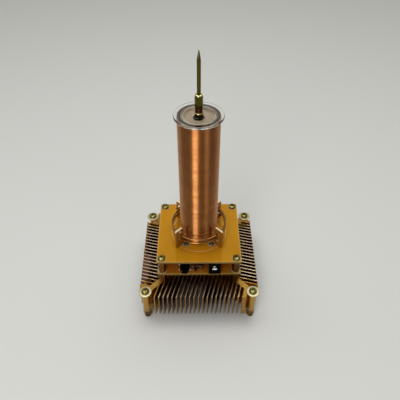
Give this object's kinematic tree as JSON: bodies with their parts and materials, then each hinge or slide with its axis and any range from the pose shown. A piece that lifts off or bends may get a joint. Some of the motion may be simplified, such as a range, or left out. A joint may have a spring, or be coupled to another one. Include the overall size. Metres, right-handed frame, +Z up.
{
  "type": "desktop resonant transformer",
  "caption": "Small air-cored high-voltage coil on two stacked boards and a finned heat sink, with a helical primary, a clear tube for the secondary and a needle electrode on top.",
  "frame": {"origin": "on the table, under the middle of the heat sink", "axes": "+Z up along the coil to the needle's tip, -Y the edge with the sockets and the slide switch, +X to the right seen from there"},
  "size_m": [0.0924, 0.0924, 0.2029],
  "materials": {
    "gold_anodised": "satin anodised",
    "dark_brass": "satin",
    "pale_brass": "satin",
    "yellow_plated": "yellow plated",
    "dark_steel": "dark plated",
    "amber_board": "lacquered laminate",
    "bare_copper": "bright copper",
    "copper_wire": "enamelled copper",
    "clear_plastic": "clear polished",
    "tinned_metal": "tinned",
    "black_plastic": "moulded",
    "dark_sleeve": "smooth",
    "grey_pad": "soft",
    "chip_ceramic": "matte"
  },
  "bodies": {
    "frame": {"audio_socket": "black_plastic", "audio_socket_tabs": "tinned_metal", "bulk_capacitor": "dark_sleeve", "chip_parts": "chip_ceramic", "corner_screws": "yellow_plated", "corner_washers": "pale_brass", "driver_board": "amber_board", "driver_chip": "black_plastic", "driver_chip_legs": "tinned_metal", "electrode_bush": "dark_brass", "electrode_collar": "dark_brass", "electrode_needle": "dark_brass", "electrode_nut": "dark_brass", "electrode_tag": "pale_brass", "film_capacitor": "dark_sleeve", "foot_spacers": "dark_brass", "heatsink": "gold_anodised", "link_pins": "tinned_metal", "link_strip": "black_plastic", "lower_spacers": "dark_brass", "power_socket": "black_plastic", "power_socket_leaf": "tinned_metal", "power_socket_pin": "tinned_metal", "power_transistor": "black_plastic", "primary_support_front_left": "amber_board", "primary_support_front_right": "amber_board", "primary_support_rear_left": "amber_board", "primary_support_rear_right": "amber_board", "primary_winding": "bare_copper", "secondary_tube": "clear_plastic", "secondary_winding": "copper_wire", "switch_base": "black_plastic", "switch_shell": "tinned_metal", "thermal_pad": "grey_pad", "top_board": "amber_board", "top_board_screws": "yellow_plated", "transistor_legs": "tinned_metal", "transistor_screw": "dark_steel", "tube_base_disc": "clear_plastic", "tube_base_screws": "dark_steel", "tube_top_disc": "clear_plastic", "upper_spacers": "dark_brass"},
    "switch": {"switch_slider": "black_plastic"}
  },
  "joints": [
    {"name": "switch_slide", "type": "slide", "parent": "frame", "child": "switch", "axis": [1, 0, 0], "range_m": [0, 0.002]}
  ]
}
